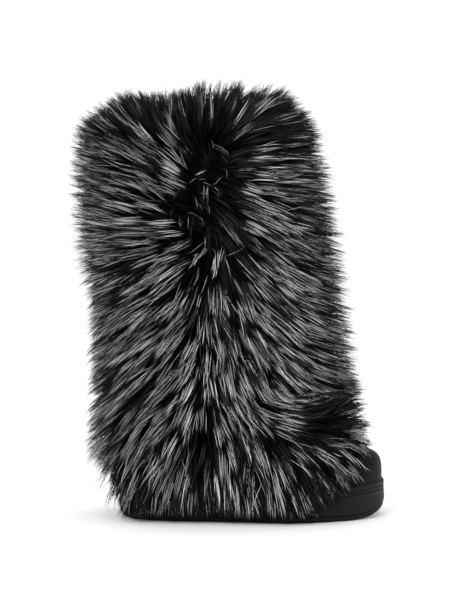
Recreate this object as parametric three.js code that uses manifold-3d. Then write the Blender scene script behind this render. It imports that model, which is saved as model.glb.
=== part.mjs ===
// A tall sheepskin boot for the right foot, hair side out, with a bare suede toe on a platform sole.
// Millimetres. +X points to the toe, +Y to the wearer's left, which is the inner side, and +Z up.
// The origin lies on the floor, under the middle of the heel.

import * as THREE from "three";
import { mergeVertices } from "three/addons/utils/BufferGeometryUtils.js";
import Module from "manifold-3d";

const wasm = await Module();
wasm.setup();

// Sole.
const soleLength = 272;
const ballWidth = 102;
const heelSetback = 44; // from the sole's rear end forward to the origin
const soleHeight = 27; // the platform's top under the ball of the foot
const heelRaise = 3; // how much higher the platform's top is under the heel
const toeLift = 5.5; // how much higher it is at the tip of the toe
const toeBend = 5; // the tip of the toe lies this far towards the inner side
const outsoleThickness = 6;
const toeBevel = 11; // height of the rounded-up tread at the toe
const heelBevel = 5; // and at the heel
const treadDepth = 2.8;
const grooveWidth = 5;
const treadRim = 11; // solid rim between the grooves and the sole's edge
const foxingHeight = 4.5;
const ribHeight = 3.2;
const ribGroove = 1.1; // width and depth of the grooves that set the rib off from the wall and the foxing

// Upper.
const instepRise = 117; // from the platform's top to the start of the shaft
const collarHeight = 405;
const shaftDepth = 140; // front to back at the collar
const shaftWidth = 120;
const legAxis = 76; // from the sole's rear end forward to the middle of the collar
const upperWall = 3;
const insoleThickness = 4;
const toeCapThickness = 1.8;
const toeCapReach = 44; // how high the suede goes above the platform on the toe's ridge
const gap = 0.3; // between neighbouring pieces
const floorGap = 2; // below the tips of the lowest hair

// Pile.
const pileDepth = 24; // the dense wool that the locks stand in, at the sides of the leg
const ridgePile = 37; // on the front and back of the leg
const collarPile = 22; // round the collar
const seamPile = 11; // what is left of it at a seam or the lower edge
const lockLength = 54;
const lockRadius = 18;
const lockSpacing = 33;
const layOut = 0.55; // how steeply the hair beside a seam stands, as a share of how far it runs along the skin
const sideSeam = 88; // from the sole's rear end forward to the seams at the sides

// Meshing.
const around = 36;
const woolColumns = 12;
const woolRows = 11;
const step = 1e-3; // for slopes of the upper's surface

// The sole's outline. along is a share of soleLength, and lateral and medial are half widths as shares of ballWidth.
const outline = [
  { along: 0, lateral: 0.42, medial: 0.42 },
  { along: 0.2, lateral: 0.43, medial: 0.42 },
  { along: 0.42, lateral: 0.42, medial: 0.36 },
  { along: 0.66, lateral: 0.52, medial: 0.48 },
  { along: 0.85, lateral: 0.51, medial: 0.52 },
  { along: 1, lateral: 0.48, medial: 0.54 },
];
const outlineBlunt = 0.72; // below 1, both ends are blunter than an oval's

// The foot of the upper. rise is a share of instepRise, and back and front are shares of soleLength.
// girth is a share of the half width, last blends from an oval to the sole's outline, and blunt is as above.
const footSections = [
  { rise: 0, back: 0.018, front: 0.98, girth: 0.9, last: 1, blunt: 0.72 },
  { rise: 0.085, back: 0.016, front: 0.982, girth: 0.9, last: 1, blunt: 0.74 },
  { rise: 0.17, back: 0.017, front: 0.981, girth: 0.89, last: 1, blunt: 0.77 },
  { rise: 0.23, back: 0.019, front: 0.976, girth: 0.86, last: 1, blunt: 0.79 },
  { rise: 0.282, back: 0.021, front: 0.962, girth: 0.83, last: 0.95, blunt: 0.81 },
  { rise: 0.35, back: 0.025, front: 0.902, girth: 0.8, last: 0.9, blunt: 0.84 },
  { rise: 0.46, back: 0.031, front: 0.845, girth: 0.78, last: 0.8, blunt: 0.88 },
  { rise: 0.6, back: 0.04, front: 0.787, girth: 0.78, last: 0.65, blunt: 0.92 },
  { rise: 0.77, back: 0.05, front: 0.742, girth: 0.81, last: 0.45, blunt: 0.96 },
  { rise: 1, back: 0.057, front: 0.702, girth: 0.87, last: 0.2, blunt: 1 },
];

// The shaft. rise is a share of what is left up to the collar. back and front are shares of shaftDepth from the
// leg's axis, and width is a share of shaftWidth.
const shaftSections = [
  { rise: 0.11, back: 0.43, front: 0.775, width: 0.79 },
  { rise: 0.24, back: 0.435, front: 0.735, width: 0.84 },
  { rise: 0.4, back: 0.458, front: 0.692, width: 0.89 },
  { rise: 0.57, back: 0.482, front: 0.643, width: 0.935 },
  { rise: 0.74, back: 0.492, front: 0.593, width: 0.967 },
  { rise: 0.89, back: 0.5, front: 0.536, width: 0.99 },
  { rise: 1, back: 0.5, front: 0.5, width: 1 },
];

// Which way the hair is combed, by height as a share of collarHeight. The angles are degrees above the horizontal:
// back and front on the boot's two ridges, side between them.
const combing = [
  { height: 0.09, back: -72, side: -82, front: -40 },
  { height: 0.2, back: -60, side: -70, front: -14 },
  { height: 0.33, back: -52, side: -50, front: -8 },
  { height: 0.48, back: -38, side: -36, front: -24 },
  { height: 0.58, back: -26, side: -24, front: -24 },
  { height: 0.68, back: 12, side: -4, front: -20 },
  { height: 0.8, back: 24, side: 8, front: -12 },
  { height: 0.92, back: 30, side: 34, front: 14 },
  { height: 1, back: 50, side: 62, front: 38 },
];

const mix = (a, b, t) => a + (b - a) * t;
const smooth = (from, to, x) => THREE.MathUtils.smoothstep(x, from, to);

// A row of a table between its rows, where x is the value of the column named key, by a Catmull-Rom curve.
function rowAt(table, key, x) {
  const last = table.length - 1;
  const after = table.findIndex((row) => row[key] > x);
  const i = after < 0 ? last - 1 : Math.max(after - 1, 0);
  const t = THREE.MathUtils.clamp((x - table[i][key]) / (table[i + 1][key] - table[i][key]), 0, 1);
  const near = [i - 1, i, i + 1, i + 2].map((k) => table[THREE.MathUtils.clamp(k, 0, last)]);
  const row = {};
  for (const column of Object.keys(table[0])) {
    const [a, b, c, d] = near.map((r) => r[column]);
    const slopes = [(c - a) / 2, (d - b) / 2];
    row[column] =
      b + t * slopes[0] + t * t * (3 * (c - b) - 2 * slopes[0] - slopes[1]) +
      t * t * t * (2 * (b - c) + slopes[0] + slopes[1]);
  }
  return row;
}

// Angle 0 is the back of the heel, and pi the tip of the toe. Positive sines lie on the inner side.
const shareAlong = (angle) => (1 - Math.cos(angle)) / 2;
const bluntSine = (angle, blunt) => Math.sign(Math.sin(angle)) * Math.abs(Math.sin(angle)) ** blunt;

function footHalfWidth(angle) {
  const row = rowAt(outline, "along", shareAlong(angle));
  return ballWidth * (Math.sin(angle) < 0 ? row.lateral : row.medial);
}

// How far the platform's top lies above its height under the ball, x forward of the sole's rear end.
function topLift(x) {
  const s = THREE.MathUtils.clamp(x / soleLength, 0, 1);
  const toe = Math.max(s - 0.6, 0) / 0.4;
  return heelRaise * (1 - smooth(0.25, 0.6, s)) + toeLift * toe * toe;
}

// How far the tread is rounded up at the two ends.
function bottomLift(x) {
  const s = THREE.MathUtils.clamp(x / soleLength, 0, 1);
  const toe = Math.max(s - 0.87, 0) / 0.13;
  const heel = Math.max(0.07 - s, 0) / 0.07;
  return toeBevel * toe * toe + heelBevel * heel * heel;
}

// A point on the sole's edge, moved in by inset, at the height that the function gives for its x.
function solePoint(angle, inset, height) {
  const s = shareAlong(angle);
  const x = inset + s * (soleLength - 2 * inset);
  const y = (footHalfWidth(angle) - inset) * bluntSine(angle, outlineBlunt) + toeBend * smooth(0.4, 1, s);
  return new THREE.Vector3(x - heelSetback, y, height(x));
}

// Both tables of sections in millimetres, by their rise above the platform.
const shaftRise = collarHeight - soleHeight - gap - instepRise;
const sections = [
  ...footSections.map((row) => ({
    rise: row.rise * instepRise,
    back: row.back * soleLength,
    front: row.front * soleLength,
    half: (row.girth * ballWidth) / 2,
    last: row.last,
    blunt: row.blunt,
  })),
  ...shaftSections.map((row) => ({
    rise: instepRise + row.rise * shaftRise,
    back: legAxis - row.back * shaftDepth,
    front: legAxis + row.front * shaftDepth,
    half: (row.width * shaftWidth) / 2,
    last: 0,
    blunt: 1,
  })),
];
const topRise = instepRise + shaftRise;

// A point on the upper's outer face.
function skinPoint(angle, rise) {
  const row = rowAt(sections, "rise", rise);
  const s = shareAlong(angle);
  const x = mix(row.back, row.front, s);
  const half = row.half * mix(1, (2 * footHalfWidth(angle)) / ballWidth, row.last);
  const y = half * bluntSine(angle, row.blunt) + row.last * toeBend * smooth(0.4, 1, s);
  const settled = 1 - smooth(0, 0.6 * instepRise, rise);
  return new THREE.Vector3(x - heelSetback, y, soleHeight + gap + rise + topLift(x) * settled);
}

function skinNormal(angle, rise) {
  const low = Math.max(rise - 1, 0);
  const high = Math.min(rise + 1, topRise);
  const alongRing = skinPoint(angle + step, rise).sub(skinPoint(angle - step, rise));
  const upwards = skinPoint(angle, high).sub(skinPoint(angle, low));
  const normal = upwards.cross(alongRing).normalize();
  normal.z *= smooth(0, foxingHeight, rise); // the lasted edge stands upright on the platform
  return normal.normalize();
}

// A point at a distance out from the upper's outer face.
const skinOffset = (angle, rise, distance) =>
  skinPoint(angle, rise).addScaledVector(skinNormal(angle, rise), distance);

const angles = Array.from({ length: around }, (_, i) => (2 * Math.PI * i) / around);

function solidOf(geometry) {
  const bare = geometry.clone();
  for (const name of Object.keys(bare.attributes)) {
    if (name !== "position") {
      bare.deleteAttribute(name);
    }
  }
  const merged = mergeVertices(bare, 1e-4);
  return new wasm.Manifold(
    new wasm.Mesh({
      numProp: 3,
      vertProperties: merged.attributes.position.array,
      triVerts: new Uint32Array(merged.index.array),
    }),
  );
}

function geometryOf(solid) {
  const { numProp, vertProperties, triVerts } = solid.getMesh();
  const positions = new Float32Array((vertProperties.length / numProp) * 3);
  for (let i = 0; i < positions.length / 3; i += 1) {
    positions.set(vertProperties.subarray(i * numProp, i * numProp + 3), i * 3);
  }
  const geometry = new THREE.BufferGeometry();
  geometry.setAttribute("position", new THREE.BufferAttribute(positions, 3));
  geometry.setIndex(new THREE.BufferAttribute(triVerts, 1));
  return geometry;
}

function geometryFrom(points, faces) {
  const geometry = new THREE.BufferGeometry().setFromPoints(points);
  geometry.setIndex(faces);
  return geometry;
}

// Two triangles for a four-sided face.
const quad = (a, b, c, d) => [a, b, c, a, c, d];

// Faces between neighbouring rings, each of the same number of points.
function bands(rings, closed) {
  const n = rings[0].length;
  const count = closed ? rings.length : rings.length - 1;
  const faces = [];
  for (let k = 0; k < count; k += 1) {
    const low = k * n;
    const high = ((k + 1) % rings.length) * n;
    for (let i = 0; i < n; i += 1) {
      const j = (i + 1) % n;
      faces.push(...quad(low + j, low + i, high + i, high + j));
    }
  }
  return faces;
}

// A slab from rings that rise from its underside to its top, closed by strips from side to side.
function slab(rings) {
  const n = rings[0].length;
  const faces = bands(rings, false);
  const top = (rings.length - 1) * n;
  for (let i = 0; i < n / 2; i += 1) {
    const [a, b, c, d] = [i, i + 1, n - i - 1, (n - i) % n];
    faces.push(...quad(a, b, c, d), ...quad(top + d, top + c, top + b, top + a));
  }
  const degenerate = (k) => new Set(faces.slice(k, k + 3)).size < 3;
  const kept = faces.filter((_, k) => !degenerate(k - (k % 3)));
  return geometryFrom(rings.flat(), kept);
}

// A tube wall from rings that go up its outer face and down its inner face.
const shell = (rings) => geometryFrom(rings.flat(), bands(rings, true));

// A patch with a thickness, from two grids of points with the same rows and columns. Columns run along the boot.
function panel(outer, inner) {
  const rows = outer.length;
  const columns = outer[0].length;
  const at = (layer, row, column) => (layer * rows + row) * columns + column;
  const faces = [];
  for (let r = 0; r < rows - 1; r += 1) {
    for (let c = 0; c < columns - 1; c += 1) {
      faces.push(...quad(at(0, r, c + 1), at(0, r, c), at(0, r + 1, c), at(0, r + 1, c + 1)));
      faces.push(...quad(at(1, r, c), at(1, r, c + 1), at(1, r + 1, c + 1), at(1, r + 1, c)));
    }
  }
  for (let c = 0; c < columns - 1; c += 1) {
    const top = rows - 1;
    faces.push(...quad(at(0, 0, c), at(0, 0, c + 1), at(1, 0, c + 1), at(1, 0, c)));
    faces.push(...quad(at(0, top, c + 1), at(0, top, c), at(1, top, c), at(1, top, c + 1)));
  }
  for (let r = 0; r < rows - 1; r += 1) {
    const end = columns - 1;
    faces.push(...quad(at(0, r + 1, 0), at(0, r, 0), at(1, r, 0), at(1, r + 1, 0)));
    faces.push(...quad(at(0, r, end), at(0, r + 1, end), at(1, r + 1, end), at(1, r, end)));
  }
  return geometryFrom([...outer.flat(), ...inner.flat()], faces);
}

function part(name, geometry, look) {
  const made = new THREE.Mesh(geometry, new THREE.MeshStandardMaterial({ metalness: 0, ...look }));
  made.name = name;
  return made;
}

// Outsole: a thin tread, rounded up at both ends, with crosswise grooves inside a solid rim.
function outsole() {
  const ring = (inset, thickness) =>
    angles.map((angle) => solePoint(angle, inset, (x) => thickness + bottomLift(x)));
  const blank = solidOf(slab([ring(4, 0), ring(1.2, 2), ring(0.8, outsoleThickness)]));
  const bar = (x) => {
    const nearest = (side) =>
      solePoint(side * Math.acos(1 - (2 * (x + heelSetback)) / soleLength), treadRim, () => 0).y;
    const [inner, outer] = [nearest(1), nearest(-1)];
    const box = new THREE.BoxGeometry(grooveWidth, inner - outer, 2 * treadDepth);
    return solidOf(box.translate(x, (inner + outer) / 2, 0));
  };
  const grooves = [];
  const pitch = soleLength / 16;
  const firstLug = 1.5 * pitch; // the origin lies in the middle of a lug
  for (const from of [-firstLug, firstLug]) {
    grooves.push(bar(from));
  }
  for (let x = 5.5 * pitch; x < 0.87 * soleLength - heelSetback; x += pitch) {
    grooves.push(bar(x));
  }
  return geometryOf(blank.subtract(wasm.Manifold.union(grooves)));
}

// Midsole: the platform, whose wall leans in a little towards a groove and a rib under the foxing.
function midsole() {
  const underside = (x) => outsoleThickness + gap + bottomLift(x);
  const topside = (x) => soleHeight + topLift(x);
  const down = (distance) => (x) => topside(x) - distance;
  const ring = (inset, height) => angles.map((angle) => solePoint(angle, inset, height));
  return slab([
    ring(0.8, underside),
    ring(0, (x) => underside(x) + 1.5),
    ring(0.6, down(ribHeight + ribGroove)),
    ring(0.6 + ribGroove, down(ribHeight + ribGroove)),
    ring(0.6 + ribGroove, down(ribHeight)),
    ring(0.6, down(ribHeight)),
    ring(0.6, down(ribGroove)),
    ring(0.6 + ribGroove, down(0)),
  ]);
}

// The suede toe and the pelts meet on this line, given as a rise above the platform.
const capColumns = 16;
const capStart = Math.PI - (Math.PI * capColumns) / around;
function capEdge(angle) {
  const fromToe = Math.abs(Math.PI - angle);
  return mix(foxingHeight + 1.5, toeCapReach, smooth(0, 1, 1 - fromToe / (Math.PI - capStart)));
}
const underCap = (angle) => Math.abs(Math.PI - angle) < Math.PI - capStart + step;

// Foxing: a narrow strip on the platform, round the foot of the upper.
function foxing() {
  const inside = (angle) => gap + (underCap(angle) ? toeCapThickness + gap : 0);
  const outer = (inset, above) =>
    angles.map((angle) => solePoint(angle, inset, (x) => soleHeight + topLift(x) + gap + above));
  const inner = (above) =>
    angles.map((angle) => {
      const point = skinOffset(angle, above, inside(angle));
      const x = point.x + heelSetback;
      return point.setZ(soleHeight + topLift(x) + gap + above);
    });
  return shell([outer(0.5, 0), outer(0.5, foxingHeight - 1), outer(1.1, foxingHeight), inner(foxingHeight), inner(0)]);
}

function insole() {
  const ring = (above, inset) =>
    angles.map((angle) => {
      const point = skinOffset(angle, above, -upperWall - gap - inset);
      const x = point.x + heelSetback;
      return point.setZ(soleHeight + topLift(x) + gap + above);
    });
  return slab([ring(0, 0), ring(insoleThickness - 1, 0), ring(insoleThickness, 1)]);
}

// Upper: the hide and its lining, one hollow wall, open at the collar and underneath.
function upper() {
  const rises = sections.map((row) => row.rise);
  const ring = (rise, distance) => angles.map((angle) => skinOffset(angle, rise, distance));
  const outside = rises.map((rise) => ring(rise, 0));
  const inside = rises.map((rise) => ring(rise, -upperWall)).reverse();
  return shell([...outside, ...inside]);
}

// A patch of the toe between two offsets, from just above the platform to the cap's edge and beyond it by extra.
function capPanel(outside, inside, extra) {
  const [from, to] = [capStart, 2 * Math.PI - capStart];
  const columns = Array.from({ length: capColumns + 1 }, (_, c) => mix(from, to, c / capColumns));
  const rows = [0, 0.15, 0.35, 0.55, 0.74, 0.88, 1];
  const grid = (distance) =>
    rows.map((t) => columns.map((angle) => skinOffset(angle, t * (capEdge(angle) + extra), distance)));
  return panel(grid(outside), grid(inside));
}

// The leg of the boot, filled in and grown by the gap, with the room above it.
function legCore() {
  const rings = sections.map((row) => angles.map((angle) => skinOffset(angle, row.rise, gap)));
  const below = rings[0].map((point) => point.clone().setZ(0));
  const above = rings[rings.length - 1].map((point) => point.clone().setZ(collarHeight + 2 * lockLength));
  return solidOf(slab([below, ...rings, above]));
}

function toeCap() {
  const blank = capPanel(gap + toeCapThickness, -upperWall, 0);
  return geometryOf(solidOf(blank).subtract(legCore()));
}

// Where the side seam lies, as an angle, at a rise above the platform.
function seamAngle(rise) {
  const row = rowAt(sections, "rise", rise);
  return Math.acos(THREE.MathUtils.clamp(1 - (2 * (sideSeam - row.back)) / (row.front - row.back), -1, 1));
}

// A pelt's patch of the upper, by shares across it from seam to seam and up it from its lower edge to the collar.
const pelts = {
  back: (across, up) => {
    const rise = mix(foxingHeight + 1, topRise, up);
    const reach = seamAngle(rise) - gap / soleLength;
    return { angle: mix(-reach, reach, across), rise };
  },
  front: (across, up) => {
    const middle = Math.PI;
    const guess = mix(capEdge(middle), topRise, up);
    const reach = Math.PI - seamAngle(guess) - gap / soleLength;
    const angle = mix(middle - reach, middle + reach, across);
    const rise = mix(capEdge(angle) + gap, topRise, up);
    const settled = Math.PI - seamAngle(rise) - gap / soleLength;
    return { angle: mix(middle - settled, middle + settled, across), rise };
  },
};

// The wool is deepest on the ridge in the middle of the pelt, and thins out towards the seams and the edges.
function pileAt(across, up) {
  const fromSeam = Math.min(across, 1 - across);
  const deepest = mix(pileDepth, ridgePile, smooth(0.12, 0.42, fromSeam));
  const full = mix(deepest, collarPile, smooth(0.86, 1, up));
  return mix(seamPile, full, smooth(0, 0.3, fromSeam) * smooth(-0.04, 0.16, up));
}

// The direction that the hair is combed in. onRidge is 1 on the boot's front and back, and 0 towards the seams, where
// the hair lies over and points away from the seam.
function combed(angle, rise, across) {
  const level = skinNormal(angle, rise).setZ(0).normalize();
  const row = rowAt(combing, "height", skinPoint(angle, rise).z / collarHeight);
  const forward = Math.cos(angle) < Math.cos(seamAngle(rise)) ? 1 : -1;
  const onRidge = smooth(0.25, 1, 1 - Math.abs(2 * across - 1));
  const tilt = THREE.MathUtils.degToRad(mix(row.side, forward > 0 ? row.front : row.back, onRidge));
  const away = new THREE.Vector3(0, 0, 1).cross(level).multiplyScalar(across < 0.5 ? -forward : forward);
  return level
    .multiplyScalar(mix(layOut, Math.cos(tilt), onRidge))
    .addScaledVector(away, Math.cos(tilt) * (1 - onRidge))
    .setZ(Math.sin(tilt))
    .normalize();
}

// One lock of hair: a tapered tuft whose tip hangs down a little.
function lock(root, direction, length) {
  const tuft = new THREE.ConeGeometry(lockRadius, length, 3, 2).translate(0, length / 2, 0);
  const turn = new THREE.Quaternion().setFromUnitVectors(new THREE.Vector3(0, 1, 0), direction);
  const point = new THREE.Vector3();
  const places = tuft.attributes.position;
  for (let i = 0; i < places.count; i += 1) {
    point.fromBufferAttribute(places, i);
    const t = point.y / length;
    if (Math.hypot(point.x, point.y, point.z) < step) {
      point.y = -lockRadius; // the root comes to a blunt point too
    }
    point.applyQuaternion(turn).add(root);
    places.setXYZ(i, point.x, point.y, point.z - 0.09 * length * t * t);
  }
  return solidOf(tuft);
}

// All that the pelts must stay clear of: the leg, the toe cap, the sole and the floor.
function keepOut() {
  const cap = solidOf(capPanel(toeCapThickness + 2 * gap, -upperWall, gap));
  const edge = (height) => angles.map((angle) => solePoint(angle, -gap, height));
  const foot = solidOf(slab([edge(() => -1), edge((x) => soleHeight + topLift(x) + foxingHeight + 2 * gap)]));
  const floor = new THREE.BoxGeometry(3 * soleLength, 3 * soleLength, 2 * floorGap);
  return wasm.Manifold.union([legCore(), cap, foot, solidOf(floor)]);
}

// Locks in staggered rows over a pelt, fused to its wool.
function pelt(patch, facing) {
  const rows = Array.from({ length: woolRows + 1 }, (_, r) => r / woolRows);
  const columns = Array.from({ length: woolColumns + 1 }, (_, c) => c / woolColumns);
  const grid = (depth) =>
    rows.map((up) =>
      columns.map((across) => {
        const { angle, rise } = patch(across, up);
        return skinOffset(angle, rise, gap + depth(across, up));
      }),
    );
  const wool = solidOf(panel(grid(pileAt), grid(() => -2 * upperWall)));
  const locks = [];
  const height = topRise - patch(0.5, 0).rise;
  const tiers = Math.round(height / lockSpacing);
  for (let tier = 0; tier < tiers; tier += 1) {
    const up = (tier + 0.62) / tiers;
    const [start, end] = [patch(0, up), patch(1, up)];
    const [a, m, b] = [start, patch(0.5, up), end].map((p) => skinPoint(p.angle, p.rise));
    const count = Math.round((a.distanceTo(m) + m.distanceTo(b)) / (0.92 * lockSpacing));
    for (let k = 0; k < count; k += 1) {
      const across = (k + (tier % 2 ? 0.72 : 0.28)) / count;
      const { angle, rise } = patch(across, up);
      const root = skinOffset(angle, rise, 0.2 * pileAt(across, up));
      const swing = 0.88 + 0.12 * Math.cos(7 * tier + 4 * k);
      locks.push(lock(root, combed(angle, rise, across), lockLength * swing));
    }
  }
  const seam = facing * (sideSeam - heelSetback) + gap / 2;
  const whole = wasm.Manifold.union([wool, ...locks]).subtract(keepOut()).trimByPlane([facing, 0, 0], seam);
  const [largest] = whole.decompose().sort((a, b) => b.volume() - a.volume());
  return geometryOf(largest);
}

const rubber = { color: 0x1c1c1e, roughness: 0.62 };
const suede = { color: 0x141414, roughness: 0.95 };
const hide = { color: 0x161617, roughness: 0.9 };
const felt = { color: 0x232325, roughness: 0.95 };
const pile = { color: 0x2a2a2b, roughness: 0.8 };

const boot = new THREE.Group();
boot.name = "sheepskin_boot";
boot.add(
  part("outsole", outsole(), rubber),
  part("midsole", midsole(), rubber),
  part("foxing", foxing(), rubber),
  part("insole", insole(), felt),
  part("upper", upper(), hide),
  part("toe_cap", toeCap(), suede),
  part("pelt_back", pelt(pelts.back, -1), pile),
  part("pelt_front", pelt(pelts.front, 1), pile),
);

export default boot;
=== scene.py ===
"""Dresses a tall fur boot: long silver-banded fur, a bare suede toe, and a black rubber platform sole.

Sizes in the classes are in millimetres, and are turned to metres where a mesh is made.
The boot's frame has +X to the toe, +Y to the inner side and +Z up, with its origin under the heel.
"""

from __future__ import annotations

import logging
import math
from dataclasses import dataclass, field
from enum import Enum

import bmesh
import bpy
import numpy as np
from bpy.types import ID, Material, Mesh, Node, NodeSocket, Object
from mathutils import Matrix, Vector
from mathutils.bvhtree import BVHTree
from mathutils.kdtree import KDTree


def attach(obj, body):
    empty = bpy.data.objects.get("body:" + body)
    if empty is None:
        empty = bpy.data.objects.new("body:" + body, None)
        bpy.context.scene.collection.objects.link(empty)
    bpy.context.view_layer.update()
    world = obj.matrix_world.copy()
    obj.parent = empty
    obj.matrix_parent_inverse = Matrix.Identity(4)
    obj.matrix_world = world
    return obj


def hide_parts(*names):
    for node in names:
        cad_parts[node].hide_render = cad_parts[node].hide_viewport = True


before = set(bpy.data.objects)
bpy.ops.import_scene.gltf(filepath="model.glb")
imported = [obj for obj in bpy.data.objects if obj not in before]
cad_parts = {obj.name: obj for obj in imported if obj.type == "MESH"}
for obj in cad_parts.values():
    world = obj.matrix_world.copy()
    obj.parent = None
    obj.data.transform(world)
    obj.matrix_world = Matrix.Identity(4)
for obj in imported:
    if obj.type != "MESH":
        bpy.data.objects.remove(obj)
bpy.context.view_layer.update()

Array = np.ndarray
Range = tuple[float, float]
Row = tuple[float, ...]

MM = 0.001
BODY = "root"
FUR_MAP = "OFBake"

# A Mix node has sockets named A, B and Result for each type of data: these are the places of the colour ones.
COLOUR_A, COLOUR_B, COLOUR_RESULT = 6, 7, 2

# Corners of a solid that are closer than this are one.
JOINED = 0.005 * MM

# A direction that no hair grows in, from which the corners round each hair are found.
ASKEW = (0.31, 0.87, 0.39)

log = logging.getLogger("boot")


class Side(Enum):
    """The five pieces that the coat is divided into, from the front round by the outer side."""

    OUTER_FRONT = "fur_outer_front"
    OUTER = "fur_outer_side"
    BACK = "fur_back"
    INNER = "fur_inner_side"
    INNER_FRONT = "fur_inner_front"


class Under(Enum):
    """The two pieces of the short hair under the coat, in the same order."""

    OUTER = "underfur_outer"
    INNER = "underfur_inner"


def linear(colour: str) -> tuple[float, float, float, float]:
    """Turns an sRGB hex colour to linear light.

    Args:
        colour: the colour as "#rrggbb".

    Returns:
        Red, green, blue and an alpha of 1.
    """
    shares = [int(colour[i : i + 2], 16) / 255 for i in (1, 3, 5)]
    made = [c / 12.92 if c <= 0.04045 else ((c + 0.055) / 1.055) ** 2.4 for c in shares]
    return (*made, 1.0)


def smooth(low: float, high: float, x: Array) -> Array:
    """Rises from 0 where x is low to 1 where it is high, with level ends."""
    t = np.clip((x - low) / (high - low), 0, 1)
    return t * t * (3 - 2 * t)


class Nodes:
    """The node tree of one material."""

    def __init__(self, name: str) -> None:
        """Makes the material, with an empty tree that reads places on the boot.

        Args:
            name: the finish's plain name.
        """
        self.material = bpy.data.materials.new(name)
        self.material.use_nodes = True
        self.tree = self.material.node_tree
        self.tree.nodes.clear()
        self.place = self.add("ShaderNodeTexCoord").outputs["Object"]

    def add(self, kind: str, links: dict | None = None, **settings) -> Node:
        """Adds one node with its settings and its links.

        Args:
            kind: the node's type, such as "ShaderNodeMath".
            links: an output socket, or a plain value, for each input that is named or numbered.
            settings: properties of the node itself.

        Returns:
            The new node.
        """
        node = self.tree.nodes.new(kind)
        for name, value in settings.items():
            setattr(node, name, value)
        for name, value in (links or {}).items():
            if isinstance(value, NodeSocket):
                self.tree.links.new(value, node.inputs[name])
            else:
                node.inputs[name].default_value = value
        return node

    def noise(self, grain_mm: float, **inputs: float) -> NodeSocket:
        """Adds a cloud of noise with grains of some size, and gives its strength from 0 to 1."""
        links = {"Vector": self.place, "Scale": 1 / (grain_mm * MM), **inputs}
        return self.add("ShaderNodeTexNoise", links).outputs["Fac"]

    def tones(self, value: NodeSocket, places: Row, *colours: tuple) -> NodeSocket:
        """Adds a colour ramp.

        Args:
            value: what runs along the ramp.
            places: the places of its colours, from 0 to 1.
            colours: the linear colours.

        Returns:
            The colour found.
        """
        ramp = self.add("ShaderNodeValToRGB", {"Fac": value})
        elements = ramp.color_ramp.elements
        while len(elements) < len(places):
            elements.new(0.5)
        for element, place, colour in zip(elements, places, colours):
            element.position = place
            element.color = colour
        return ramp.outputs["Color"]

    def bump(self, height: NodeSocket, strength: float, depth_mm: float, invert: bool = False) -> NodeSocket:
        """Adds fine relief that the shading alone shows, sunk instead of raised if it is inverted."""
        links = {"Height": height, "Strength": strength, "Distance": depth_mm * MM}
        return self.add("ShaderNodeBump", links, invert=invert).outputs["Normal"]


@dataclass(frozen=True)
class Finish:
    """What every finish has."""

    name: str
    roughness: float
    gloss: float  # the strength of its highlights
    sheen: float = 0.0
    ior: float = 1.5

    def inputs(self, nodes: Nodes) -> dict:
        """Gives a socket or a plain value for each input that sets this finish apart."""
        raise NotImplementedError

    def material(self) -> Material:
        """Builds the node material.

        Returns:
            The material.
        """
        nodes = Nodes(self.name)
        links = {
            "Roughness": self.roughness,
            "Specular IOR Level": self.gloss,
            "Sheen Weight": self.sheen,
            "IOR": self.ior,
            **self.inputs(nodes),
        }
        shader = nodes.add("ShaderNodeBsdfPrincipled", links)
        nodes.add("ShaderNodeOutputMaterial", {"Surface": shader.outputs["BSDF"]})
        return nodes.material


@dataclass(frozen=True)
class Suede(Finish):
    """Black split-hide suede, buffed to a short nap: no gloss, a soft bloom at the edges, cloudy tone."""

    name: str = "suede_black_nap"
    roughness: float = 0.92
    gloss: float = 0.15
    sheen: float = 0.1
    dark: str = "#060606"
    bloom: str = "#0f0f0f"
    cloud_mm: float = 14.0
    clouding: Range = (0.35, 0.7)  # where in the cloud it is darkest and palest
    nap_mm: float = 0.7  # real nap is finer, drawn as coarse as the render can show
    nap_depth_mm: float = 0.25
    nap_strength: float = 0.5

    def inputs(self, nodes: Nodes) -> dict:
        """Gives its cloudy tone and its nap."""
        cloud = nodes.noise(self.cloud_mm, Detail=4.0, Roughness=0.6)
        nap = nodes.noise(self.nap_mm, Detail=3.0, Roughness=0.7)
        return {
            "Base Color": nodes.tones(cloud, self.clouding, linear(self.dark), linear(self.bloom)),
            "Normal": nodes.bump(nap, self.nap_strength, self.nap_depth_mm),
        }


@dataclass(frozen=True)
class Rubber(Finish):
    """Black foamed rubber from a mould: satin skin with a faint pebble, a little greyer where handled."""

    name: str = "rubber_black_moulded"
    roughness: float = 0.44
    scuffed_roughness: float = 0.62
    gloss: float = 0.15
    ior: float = 1.52
    colour: str = "#080808"
    scuffed: str = "#0f0f10"
    scuff_mm: float = 22.0
    scuffing: Range = (0.4, 0.75)  # where in the cloud the scuffs start and are full
    pebble_mm: float = 0.9
    pebble_depth_mm: float = 0.2
    relief: float = 0.12

    def inputs(self, nodes: Nodes) -> dict:
        """Gives its scuffs and its pebble."""
        scuff = nodes.noise(self.scuff_mm, Detail=5.0, Roughness=0.65)
        pebble = nodes.noise(self.pebble_mm, Detail=2.0, Roughness=0.5)
        span = {"Value": scuff, "To Min": self.roughness, "To Max": self.scuffed_roughness}
        return {
            "Base Color": nodes.tones(scuff, self.scuffing, linear(self.colour), linear(self.scuffed)),
            "Roughness": nodes.add("ShaderNodeMapRange", span).outputs["Result"],
            "Normal": nodes.bump(pebble, self.relief, self.pebble_depth_mm),
        }


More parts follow.
